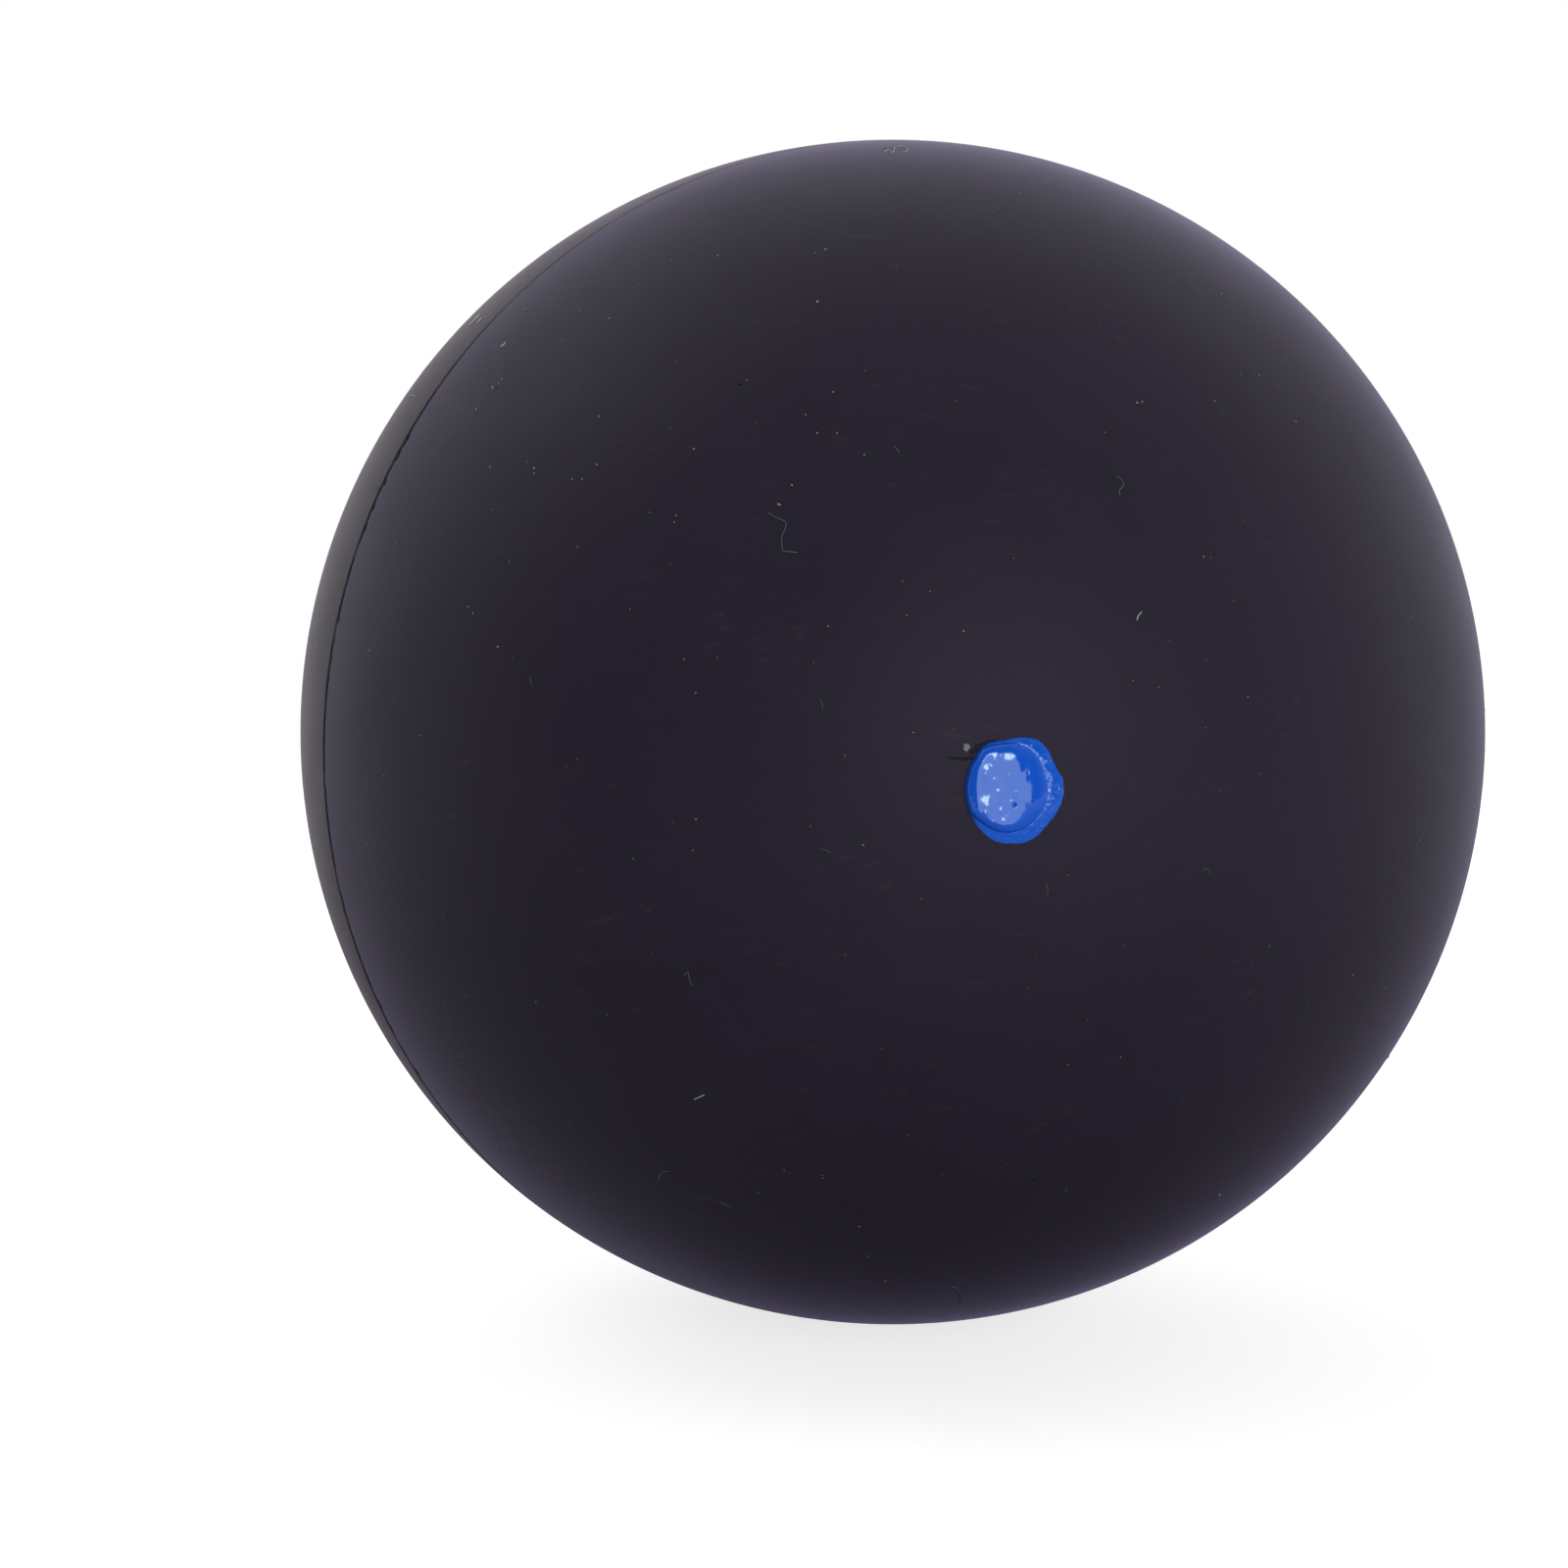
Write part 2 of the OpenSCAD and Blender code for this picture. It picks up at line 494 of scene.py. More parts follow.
def drop_top(x, y, share, angle):
    """A flat top with round shoulders, with lumps and broken bubbles in it."""
    width, upright = shoulder_at(angle)
    rise = min((1 - share) * DROP_R / (width * MM), 1)
    round_up = (1 - (1 - rise) ** 2) ** upright
    foot = on_sphere(x, y, DROP_SEAT - (DROP_SEAT + PAINT_SINK) * over_the_left(angle)).z
    flat = ball_r + BASE_COAT_H + DROP_H - TOP_CLEARANCE - TOP_TILT * y
    z = foot + (flat - foot) * round_up
    z += TOP_WAVE * rise * noise.noise(Vector((x, y, 7 * MM)) / TOP_WAVE_SIZE)
    shown = smooth_step(*LUMPS_SHOWN, rise)
    z += shown * (swell(x, y, LUMPS, LUMP_TAIL) - swell(x, y, BUBBLES))
    return Vector((x, y, z))


def paint_layer(name, material, edge, rings_in, middle, top, bottom):
    """A closed layer of paint: rings from its middle over the top to the edge, and back along the bottom."""
    skin = Skin()
    rings = []
    reaches = [(a, edge(a)) for a in turns(DOT_AROUND)]
    for k in range(1, rings_in + 1):
        share = math.sin(math.pi / 2 * k / rings_in)
        points = []
        for a, reach in reaches:
            x = middle.x + reach * share * math.cos(a)
            y = middle.y + reach * share * math.sin(a)
            points.append(top(x, y, share, a))
        rings.append(skin.ring(points))
    for share in UNDERSIDE_SHARES:
        points = []
        for a, reach in reaches:
            x = middle.x + reach * share * math.cos(a)
            y = middle.y + reach * share * math.sin(a)
            points.append(on_sphere(x, y, bottom))
        rings.append(skin.ring(points))
    for upper, lower in zip(rings, rings[1:]):
        skin.band(upper, lower)
    skin.cap(top(middle.x, middle.y, 0, 0), rings[0])
    skin.cap(on_sphere(middle.x, middle.y, bottom), rings[-1], closes=True)
    return skin.piece(name, material, at_dot)


def base_coat(material):
    middle = Vector((0, 0, 0))
    return paint_layer("base_coat", material, coat_edge, COAT_RINGS, middle, coat_top, -PAINT_SINK)


def top_drop(material):
    sunk = -DROP_SINKS * PAINT_SINK
    return paint_layer("top_drop", material, drop_edge, DROP_RINGS, drop_middle, drop_top, sunk)


# Lint and dust that lie on the rubber

LINT_SIDES = 5
LINT_R = 0.016 * MM
LINT_LIFT = 0.012 * MM
# How thick a fibre is at its ends, against its middle, and how many points it has between two pixels
LINT_END = 0.45
LINT_POINTS = 4
# The larger pieces of lint, as pixels of the photograph, with a thickness relative to LINT_R
FAINT_LINT_PX = (
    (0.8, (
        (784, 523), (790, 527), (797, 530), (802, 534), (801, 540), (798, 547), (798, 556), (799, 562),
        (806, 563), (814, 564))),
    (0.8, ((672, 1203), (674, 1198), (678, 1195), (682, 1195))),
    (0.8, ((972, 1313), (976, 1314), (979, 1319), (981, 1325), (979, 1330))),
    (0.7, ((698, 996), (702, 992), (704, 1000), (707, 1006))),
    (0.7, ((912, 455), (918, 462))),
    (0.8, ((1415, 1080), (1418, 1077), (1423, 1083))),
)
BRIGHT_LINT_PX = (
    (1.0, ((1160, 633), (1161, 629), (1165, 624))),
    (0.9, ((708, 1122), (712, 1120), (716, 1118), (719, 1117))),
    (1.0, ((903, 155), (905, 153.5), (908, 154), (910, 155.5), (912, 155), (912.5, 152), (914, 149.5))),
    (1.0, ((916, 150), (919, 149.5), (922, 150), (925, 151), (926, 153), (924.5, 155), (921, 155.5))),
    (1.8, ((490, 321), (485, 326), (479, 333))),
    (1.4, ((492, 324), (487, 330))),
    (1.2, ((511, 354), (514, 352), (516, 349))),
    (0.9, ((418, 404), (421, 403.5), (424, 405))),
)
# The brighter specks, as pixels of the photograph, with a radius in mm
SPECKS_PX = (
    (512, 387, 0.03), (509, 391, 0.03), (536, 316, 0.04), (513, 352, 0.045), (486, 418, 0.035),
    (842, 255, 0.045), (832, 258, 0.03), (834, 308, 0.045), (503, 396, 0.06), (795, 515, 0.05),
    (808, 495, 0.035), (822, 423, 0.03), (834, 442, 0.03), (854, 442, 0.03), (882, 464, 0.03),
    (1160, 411, 0.04), (1244, 1219, 0.05), (508, 660, 0.035), (904, 151, 0.045), (708, 458, 0.035),
    (611, 425, 0.03), (609, 474, 0.035), (500, 477, 0.03), (545, 478, 0.04), (584, 489, 0.03),
    (594, 489, 0.03), (622, 325, 0.03), (623, 242, 0.03), (478, 619, 0.03), (688, 533, 0.025),
    (850, 400, 0.025), (762, 388, 0.025), (1380, 995, 0.03), (862, 771, 0.025), (710, 707, 0.025),
    (710, 836, 0.03), (925, 628, 0.025), (1228, 568, 0.03), (1322, 430, 0.03), (1246, 300, 0.03),
)
# A tuft of fluff beside the dot, the same way
FLUFF_PX = (
    (986, 762, 0.085), (984.5, 761, 0.06), (987.5, 763, 0.065), (985.5, 764.5, 0.055), (987.5, 760.5, 0.05),
    (984, 763.5, 0.045), (989, 762, 0.04), (986.5, 766, 0.035),
)
# The loose fibres: how many, the least and most steps of each, a step in mm, its turn in radians
LOOSE_LINT = 34
LOOSE_STEPS = (2, 4)
LOOSE_STEP_MM = (0.08, 0.22)
LOOSE_TURN = 0.7
LOOSE_POINTS = 3
LOOSE_THICK = (0.3, 0.65)
LINT_SEED = 11
# The loose flakes: how many, and what their radius is drawn from, in mm and as a share that it is divided by
LOOSE_SPECKS = 260
LOOSE_SPECK_MM = (0.006, 0.02)
LOOSE_SPECK_SHARE = (0.6, 1.2)
DUST_SEED = 7
BOX_CLEARANCE = 0.12 * MM


def tube(skin, path, radius):
    """A thin closed tube along a path that lies on the ball."""
    rings = []
    for i, point in enumerate(path):
        ahead = (path[min(i + 1, len(path) - 1)] - path[max(i - 1, 0)]).normalized()
        out = point.normalized()
        side = ahead.cross(out).normalized()
        thin = radius * (LINT_END if i in (0, len(path) - 1) else 1)
        rings.append(skin.ring([
            point + (out * math.cos(a) + side * math.sin(a)) * thin for a in turns(LINT_SIDES)]))
    for upper, lower in zip(rings, rings[1:]):
        skin.band(lower, upper)
    skin.cap(path[0], rings[0], closes=True)
    skin.cap(path[-1], rings[-1])


def curve_through(points, steps):
    """A smooth path through the points, with that many steps between each two."""
    ends = [points[0]] + list(points) + [points[-1]]
    path = []
    for a, b, c, d in zip(ends, ends[1:], ends[2:], ends[3:]):
        for k in range(steps):
            t = k / steps
            path.append(
                b + (c - a) * 0.5 * t + (a - b * 2.5 + c * 2 - d * 0.5) * t ** 2
                + (b * 1.5 - a * 0.5 - c * 1.5 + d * 0.5) * t ** 3)
    return path + [points[-1]]


def lay_on_ball(path, lift):
    return [p.normalized() * (ball_r + lift) for p in path]


def any_way(draw):
    return Vector((draw.gauss(0, 1), draw.gauss(0, 1), draw.gauss(0, 1)))


def loose_place(draw):
    """A direction on the ball, drawn anew where it would reach out of the solids' box."""
    while True:
        place = any_way(draw).normalized()
        if max(abs(c) for c in place) * (ball_r + BOX_CLEARANCE) < ball_r - BOX_CLEARANCE:
            return place


def lint_fibres(name, material, drawn, loose):
    skin = Skin()
    for thick, pixels in drawn:
        path = curve_through([on_ball(p) for p in pixels], LINT_POINTS)
        tube(skin, lay_on_ball(path, LINT_LIFT), LINT_R * thick)
    draw = random.Random(LINT_SEED)
    for _ in range(loose):
        here = loose_place(draw)
        heading = here.cross(any_way(draw)).normalized()
        points = [here * ball_r]
        step = draw.uniform(*LOOSE_STEP_MM) * MM
        for _ in range(draw.randint(*LOOSE_STEPS)):
            heading = (Matrix.Rotation(draw.gauss(0, LOOSE_TURN), 3, here) @ heading).normalized()
            points.append((points[-1] + heading * step).normalized() * ball_r)
        path = curve_through(points, LOOSE_POINTS)
        tube(skin, lay_on_ball(path, LINT_LIFT), LINT_R * draw.uniform(*LOOSE_THICK))
    return skin.piece(name, material)


SPECK_SIDES = 9
# How large the brighter flakes are, against the radius given
SPECK_GROWTH = 0.98
# A flake's rings from its top down, as shares of its radius: how wide, and how high above the rubber
SPECK_RINGS = ((0.5, 0.85), (0.9, 0.5), (1.0, 0.15), (0.8, 0.0))
SPECK_TOP = 0.95
SPECK_FOOT = 0.1
# How ragged a flake is, and how much longer it is than wide
SPECK_RAGGED = (0.8, 1.2)
SPECK_LONGER = 0.3


def speck(skin, place, radius, draw):
    """An irregular flake of dust that lies on the ball at that direction."""
    side = place.orthogonal().normalized()
    up = place.cross(side)
    long_way = draw.uniform(0, 2 * math.pi)
    rings = []
    for share, height in SPECK_RINGS:
        points = []
        for a in turns(SPECK_SIDES):
            reach = radius * share * draw.uniform(*SPECK_RAGGED)
            reach *= 1 + SPECK_LONGER * math.cos(2 * (a - long_way))
            flat = place * ball_r + (side * math.cos(a) + up * math.sin(a)) * reach
            points.append(flat.normalized() * (ball_r + radius * height))
        rings.append(skin.ring(points))
    for upper, lower in zip(rings, rings[1:]):
        skin.band(upper, lower)
    skin.cap(place * (ball_r + radius * SPECK_TOP), rings[0])
    skin.cap(place * (ball_r - radius * SPECK_FOOT), rings[-1], closes=True)


def dust_specks(material):
    skin = Skin()
    draw = random.Random(DUST_SEED)
    for x, y, radius in SPECKS_PX:
        speck(skin, on_ball((x, y)).normalized(), radius * SPECK_GROWTH * MM, draw)
    for _ in range(LOOSE_SPECKS):
        place = loose_place(draw)
        speck(skin, place, MM * draw.uniform(*LOOSE_SPECK_MM) / draw.uniform(*LOOSE_SPECK_SHARE), draw)
    for x, y, radius in FLUFF_PX:
        speck(skin, on_ball((x, y)).normalized(), radius * MM, draw)
    return skin.piece("dust_specks", material)


# Materials


def feed(tree, socket, value):
    """Links a socket to the value if that is a socket too, and otherwise sets it."""
    if isinstance(value, bpy.types.NodeSocket):
        tree.links.new(value, socket)
    else:
        socket.default_value = value


def put(tree, kind, inputs=None, **settings):
    """Adds a node, with its settings, and its inputs as values or as sockets to link."""
    made = tree.nodes.new(kind)
    for name, value in settings.items():
        setattr(made, name, value)
    for key, value in (inputs or {}).items():
        feed(tree, made.inputs[key], value)
    return made


def vector_math(tree, operation, first, second=(0.0, 0.0, 0.0)):
    return put(tree, "ShaderNodeVectorMath", {0: first, 1: second}, operation=operation).outputs


def scaled(tree, vector, factor):
    return put(tree, "ShaderNodeVectorMath", {0: vector, 3: factor}, operation="SCALE").outputs[0]


def reckon(tree, operation, first, second=0.0, clamp=False):
    """Arithmetic with two values, each a number or a socket."""
    return put(tree, "ShaderNodeMath", {0: first, 1: second}, operation=operation, use_clamp=clamp).outputs[0]


def span(tree, value, low, high, to_low=0.0, to_high=1.0):
    """Carries a value from one range to another, held at its ends."""
    made = put(tree, "ShaderNodeMapRange", {0: value, 1: low, 2: high, 3: to_low, 4: to_high}, clamp=True)
    return made.outputs[0]


def blend(tree, share, first, second):
    """Mixes two colours: the first where the share is nothing, the second where it is one."""
    return put(tree, "ShaderNodeMix", {0: share, 6: first, 7: second}, data_type="RGBA").outputs[2]


def noise_at(tree, place, size_mm, detail=3.0, rough=0.55):
    """Noise whose cells are about that many millimetres wide."""
    scale = 1 / size_mm if isinstance(size_mm, float) else reckon(tree, "DIVIDE", 1.0, size_mm)
    made = put(tree, "ShaderNodeTexNoise", {
        "Vector": place, "Scale": scale, "Detail": detail, "Roughness": rough})
    return made.outputs["Fac"]


def place_in_mm(tree):
    return scaled(tree, put(tree, "ShaderNodeTexCoord").outputs["Object"], 1 / MM)


def new_group(name, inputs, outputs):
    """A shader node group with named sockets: its tree, its input sockets by name and its output node."""
    tree = bpy.data.node_groups.new(name, "ShaderNodeTree")
    for way, sockets in (("INPUT", inputs), ("OUTPUT", outputs)):
        for socket, kind in sockets.items():
            tree.interface.new_socket(name=socket, in_out=way, socket_type="NodeSocket" + kind)
    return tree, tree.nodes.new("NodeGroupInput").outputs, tree.nodes.new("NodeGroupOutput")


def use_group(tree, group, **inputs):
    """Places a group with its inputs, and gives back its outputs."""
    named = {name.replace("_", " "): value for name, value in inputs.items()}
    return put(tree, "ShaderNodeGroup", named, node_tree=group).outputs


# The range that most of a noise lies in
NOISE_RANGE = (0.3, 0.7)
# How many times larger and higher the coarse part of the grain is than the fine part
COARSE_SIZE = 4.0
COARSE_HEIGHT = 0.7


def make_grain():
    """Fine moulded grain with slow mottling, for every surface of the ball."""
    tree, given, result = new_group(
        "grain", {"Place": "Vector", "Grain Size": "Float", "Mottle Size": "Float"},
        {"Height": "Float", "Mottle": "Float"})
    fine = noise_at(tree, given["Place"], given["Grain Size"], detail=2.0)
    coarse_size = reckon(tree, "MULTIPLY", given["Grain Size"], COARSE_SIZE)
    coarse = noise_at(tree, given["Place"], coarse_size, detail=2.0)
    height = reckon(tree, "ADD", fine, reckon(tree, "MULTIPLY", coarse, COARSE_HEIGHT))
    tree.links.new(height, result.inputs["Height"])
    mottle = noise_at(tree, given["Place"], given["Mottle Size"], detail=5.0, rough=0.6)
    tree.links.new(span(tree, mottle, *NOISE_RANGE), result.inputs["Mottle"])
    return tree


# How far the outline of a speck is shaken, in mm, and how many times in each mm
SPECK_SHAKE = 0.07
SPECK_SHAKES = 14.0
# The least and most size of a speck, as shares of the size asked for, and how bright the faintest is
SPECK_SIZES = (0.4, 1.2)
FAINTEST_SPECK = 0.15
# How wide the dusty patches are, in mm, and how much dust lies between them, as a share of theirs
DUST_PATCH = 6.0
DUST_BETWEEN = 0.25


def make_dust():
    """Scattered specks of dust, denser in patches, of all brightnesses."""
    tree, given, result = new_group(
        "dust", {"Place": "Vector", "Spacing": "Float", "Speck Size": "Float", "Amount": "Float"},
        {"Mask": "Float"})
    shake = put(tree, "ShaderNodeTexNoise", {
        "Vector": given["Place"], "Scale": SPECK_SHAKES, "Detail": 1.0}).outputs["Color"]
    place = vector_math(tree, "ADD", given["Place"], scaled(tree, shake, SPECK_SHAKE))["Vector"]
    cells = put(tree, "ShaderNodeTexVoronoi", {
        "Vector": place, "Scale": reckon(tree, "DIVIDE", 1.0, given["Spacing"])})
    away = reckon(tree, "MULTIPLY", cells.outputs["Distance"], given["Spacing"])
    lot = put(tree, "ShaderNodeSeparateColor", {0: cells.outputs["Color"]}).outputs
    reach = reckon(tree, "MULTIPLY", given["Speck Size"], span(tree, lot[0], 0.0, 1.0, *SPECK_SIZES))
    near = span(tree, reckon(tree, "DIVIDE", away, reach), 0.6, 1.0, 1.0, 0.0)
    patches = noise_at(tree, given["Place"], DUST_PATCH, detail=2.0)
    there = reckon(tree, "MULTIPLY", span(tree, patches, 0.3, 0.65, DUST_BETWEEN, 1.0), given["Amount"])
    shown = reckon(tree, "LESS_THAN", lot[1], there)
    bright = span(tree, lot[2], 0.0, 1.0, FAINTEST_SPECK, 1.0)
    mask = reckon(tree, "MULTIPLY", reckon(tree, "MULTIPLY", near, shown), bright, clamp=True)
    tree.links.new(mask, result.inputs["Mask"])
    return tree


# The ways that rubs run, as turns in radians, how many times longer than wide they are, and their patches
SCUFF_TURNS = ((0.3, 0.2, 0.9), (1.2, -0.5, 0.1))
SCUFF_SLIMNESS = 9.0
SCUFF_PATCH = 3.5


def make_scuffs():
    """Short pale rubs that run two ways, a few in each patch."""
    tree, given, result = new_group(
        "scuffs", {"Place": "Vector", "Length": "Float", "Amount": "Float"}, {"Mask": "Float"})
    parts = []
    for turn in SCUFF_TURNS:
        turned = put(tree, "ShaderNodeVectorRotate", {
            "Vector": given["Place"], "Rotation": turn}, rotation_type="EULER_XYZ").outputs[0]
        drawn = vector_math(tree, "MULTIPLY", turned, (1.0, SCUFF_SLIMNESS, SCUFF_SLIMNESS))["Vector"]
        streak = noise_at(tree, drawn, given["Length"])
        patch = noise_at(tree, turned, SCUFF_PATCH, detail=2.0)
        parts.append(reckon(tree, "MULTIPLY", span(tree, streak, 0.58, 0.75), span(tree, patch, 0.5, 0.7)))
    both = reckon(tree, "MULTIPLY", reckon(tree, "ADD", parts[0], parts[1]), given["Amount"], clamp=True)
    tree.links.new(both, result.inputs["Mask"])
    return tree


# How long the unevenness of a mark's edges is, in mm
MARK_UNEVEN = 0.12


def make_mark():
    """A thin straight mark between two places, with uneven edges."""
    tree, given, result = new_group(
        "mark", {"Place": "Vector", "From": "Vector", "To": "Vector", "Width": "Float"}, {"Mask": "Float"})
    uneven = noise_at(tree, given["Place"], MARK_UNEVEN)
    whole = vector_math(tree, "SUBTRACT", given["To"], given["From"])["Vector"]
    here = vector_math(tree, "SUBTRACT", given["Place"], given["From"])["Vector"]
    passed = vector_math(tree, "DOT_PRODUCT", here, whole)["Value"]
    length = vector_math(tree, "DOT_PRODUCT", whole, whole)["Value"]
    along = reckon(tree, "DIVIDE", passed, length, clamp=True)
    away = vector_math(tree, "DISTANCE", here, scaled(tree, whole, along))["Value"]
    reach = reckon(tree, "MULTIPLY", given["Width"], span(tree, uneven, *NOISE_RANGE, 0.7, 1.0))
    mask = span(tree, reckon(tree, "DIVIDE", away, reach), 0.5, 1.2, 1.0, 0.0)
    tree.links.new(mask, result.inputs["Mask"])
    return tree


grain_group = make_grain()
mark_group = make_mark()
dust_group = make_dust()
scuff_group = make_scuffs()

# Colours
RUBBER = (0.0168, 0.0129, 0.0262, 1)
RUBBER_PALE = (0.0193, 0.0150, 0.0300, 1)
REAR_RUBBER = (0.0178, 0.0135, 0.0256, 1)
REAR_RUBBER_PALE = (0.0240, 0.0187, 0.0345, 1)
GLUE = (0.0075, 0.0065, 0.0085, 1)
# The colour of painted shade, darker than the glue, for the seam's groove and crack and for the nicks
PAINTED_SHADE = (0.0022, 0.0018, 0.0022, 1)
DUST = (0.24, 0.225, 0.25, 1)
PAINT = (0.0034, 0.099, 0.675, 1)
PAINT_THIN = (0.0050, 0.108, 0.68, 1)
LINT = (0.17, 0.165, 0.19, 1)
BRIGHT_LINT = (0.75, 0.74, 0.76, 1)
FLAKE = (0.34, 0.325, 0.36, 1)
# How far from the seam the rear half is buffed paler, in mm: to where in full, and to where at all
BUFFED = (6.5, 12.0)
# How wide the smears are that buffing left, in mm
SMEAR_MM = 1.1
# How far below the ball's surface the painted shade of the seam's groove is full, and where it starts, in mm
SHADE_DEPTHS = (0.09, 0.012)
# How far below the surface the glue starts to be dusted like the rubber, and is so in full, in mm
DUSTED_DEPTHS = (0.065, 0.03)
# How much of the dust's colour a rub has, and how deep a nick is, in heights of the grain
SCUFF_PALENESS = 0.12
NICK_DEPTH = 2.0
# How much rougher the rubber is where dust lies, and in its paler patches
DUST_ROUGHENS = 0.3
ROUGHNESS_SPREAD = 0.06
# How much of the dust's colour lies on paint, and how dark the darker patches of fluff are
DUST_ON_PAINT = 0.5
FLUFF_DARKER = 0.45


def new_material(name):
    material = bpy.data.materials.new(name)
    material.use_nodes = True
    tree = material.node_tree
    return material, tree, tree.nodes["Principled BSDF"]


def set_shader(shader, **values):
    for name, value in values.items():
        shader.inputs[name.replace("_", " ")].default_value = value


def bumped(tree, shader, height, distance_mm):
    bump = put(tree, "ShaderNodeBump", {"Height": height, "Strength": 1.0, "Distance": distance_mm * MM})
    tree.links.new(bump.outputs["Normal"], shader.inputs["Normal"])


def by_depth(tree, place, deep, shallow, when_deep=0.0, when_shallow=1.0):
    """A value that changes between two depths below the ball's surface, in mm."""
    away = vector_math(tree, "LENGTH", place)["Value"]
    return span(tree, away, ball_r / MM - deep, ball_r / MM - shallow, when_deep, when_shallow)


# Nicks and creases, dented and painted dark for the shade in them, some a painted shadow along the dot's
# upper-left edge: from pixel to pixel of the photograph, with half their width in mm
SHADED_NICKS_PX = (
    ((992, 767), (1008, 758), 0.1), ((1008, 758), (1015, 756), 0.06), ((969, 773.5), (982, 774.5), 0.04),
    ((982, 774.5), (994, 774), 0.05), ((997, 762), (1003, 764), 0.1), ((1051, 1206), (1059, 1201), 0.05),
    ((754, 392), (756, 393), 0.06), ((488, 383), (490, 386), 0.04), ((506, 396), (508, 398), 0.04),
    ((1056, 762), (1061, 768), 0.03),
)


def shaded_nicks(tree, place):
    """One in the nicks and creases, which are painted dark for their shade, and nothing beside them."""
    masks = [
        use_group(
            tree, mark_group, Place=place, From=on_ball(a) / MM, To=on_ball(b) / MM, Width=width)["Mask"]
        for a, b, width in SHADED_NICKS_PX]
    most = masks[0]
    for mask in masks[1:]:
        most = reckon(tree, "MAXIMUM", most, mask)
    return most


def rubber(name, dust_amount, scuff_amount, marked=False):
    """Matte black rubber with a purple cast: grain, mottling, dust, rubs, and painted shade down in the seam.

    The front half is marked with its nicks, which get painted shade. The rear half is buffed paler beside the
    seam.
    """
    material, tree, shader = new_material(name)
    place = place_in_mm(tree)
    grain = use_group(tree, grain_group, Place=place, Grain_Size=0.11, Mottle_Size=4.5)
    dust = use_group(
        tree, dust_group, Place=place, Spacing=0.55, Speck_Size=0.035, Amount=dust_amount)["Mask"]
    scuffs = use_group(tree, scuff_group, Place=place, Length=2.6, Amount=scuff_amount)["Mask"]
    # Painted shade: the colour turns dark the deeper the surface lies below the ball's, in the seam's bevels,
    # bites and groove
    sunk = by_depth(tree, place, *SHADE_DEPTHS, 1.0, 0.0)
    color = blend(tree, grain["Mottle"], RUBBER, RUBBER_PALE)
    if not marked:
        back = put(tree, "ShaderNodeSeparateXYZ", {0: place}).outputs["Y"]
        smears = span(tree, noise_at(tree, place, SMEAR_MM, detail=4.0, rough=0.65), 0.35, 0.7)
        buffed = span(tree, back, *BUFFED, 1.0, 0.0)
        color = blend(tree, buffed, color, blend(tree, smears, REAR_RUBBER, REAR_RUBBER_PALE))
    color = blend(tree, reckon(tree, "MULTIPLY", scuffs, SCUFF_PALENESS), color, DUST)
    color = blend(tree, dust, color, DUST)
    height = reckon(tree, "ADD", grain["Height"], dust)
    if marked:
        # The nicks are dented, and painted dark with the shade in them and with the shadow beside the dot's
        # upper-left edge
        nicks_and_shade = shaded_nicks(tree, place)
        sunk = reckon(tree, "MAXIMUM", sunk, nicks_and_shade)
        height = reckon(tree, "SUBTRACT", height, reckon(tree, "MULTIPLY", nicks_and_shade, NICK_DEPTH))
    # Painted shade darkens the colour there
    color = blend(tree, sunk, color, PAINTED_SHADE)
    tree.links.new(color, shader.inputs["Base Color"])
    smoothest = 0.54 if marked else 0.45
    rough = span(tree, grain["Mottle"], 0.0, 1.0, smoothest, smoothest + ROUGHNESS_SPREAD)
    rough = reckon(tree, "ADD", rough, reckon(tree, "MULTIPLY", dust, DUST_ROUGHENS))
    tree.links.new(rough, shader.inputs["Roughness"])
    set_shader(shader, Specular_Tint=(0.88, 0.86, 1, 1))
    if marked:
        set_shader(shader, Specular_IOR_Level=0.17, Sheen_Weight=0.32)
        set_shader(shader, Sheen_Roughness=0.31, Sheen_Tint=(0.67, 0.57, 1, 1))
    else:
        set_shader(shader, Specular_IOR_Level=0.12, Sheen_Weight=0.2)
        set_shader(shader, Sheen_Roughness=0.22, Sheen_Tint=(0.94, 0.71, 1, 1))
    bumped(tree, shader, height, distance_mm=0.006)
    return material


def glue():
    """Dull black cured rubber solution, with rubber dust on it where it is nearly flush with the ball, and
    painted shade in its mottling deeper down.
    """
    material, tree, shader = new_material("cured_glue")
    place = place_in_mm(tree)
    grain = use_group(tree, grain_group, Place=place, Grain_Size=0.08, Mottle_Size=0.9)
    dust = use_group(tree, dust_group, Place=place, Spacing=0.4, Speck_Size=0.03, Amount=0.5)["Mask"]
    flush = by_depth(tree, place, *DUSTED_DEPTHS)
    dusty = blend(tree, dust, blend(tree, grain["Mottle"], RUBBER, REAR_RUBBER), DUST)
    # Deeper down, the glue's mottling mixes its colour with painted shade for the crack
    color = blend(tree, flush, blend(tree, grain["Mottle"], PAINTED_SHADE, GLUE), dusty)
    tree.links.new(color, shader.inputs["Base Color"])
    tree.links.new(span(tree, grain["Mottle"], 0.0, 1.0, 0.6, 0.75), shader.inputs["Roughness"])
    set_shader(shader, Specular_IOR_Level=0.15, Specular_Tint=(0.88, 0.86, 1, 1))
    set_shader(shader, Sheen_Weight=0.2, Sheen_Roughness=0.25, Sheen_Tint=(0.9, 0.76, 1, 1))
    bumped(tree, shader, grain["Height"], distance_mm=0.008)
    return material


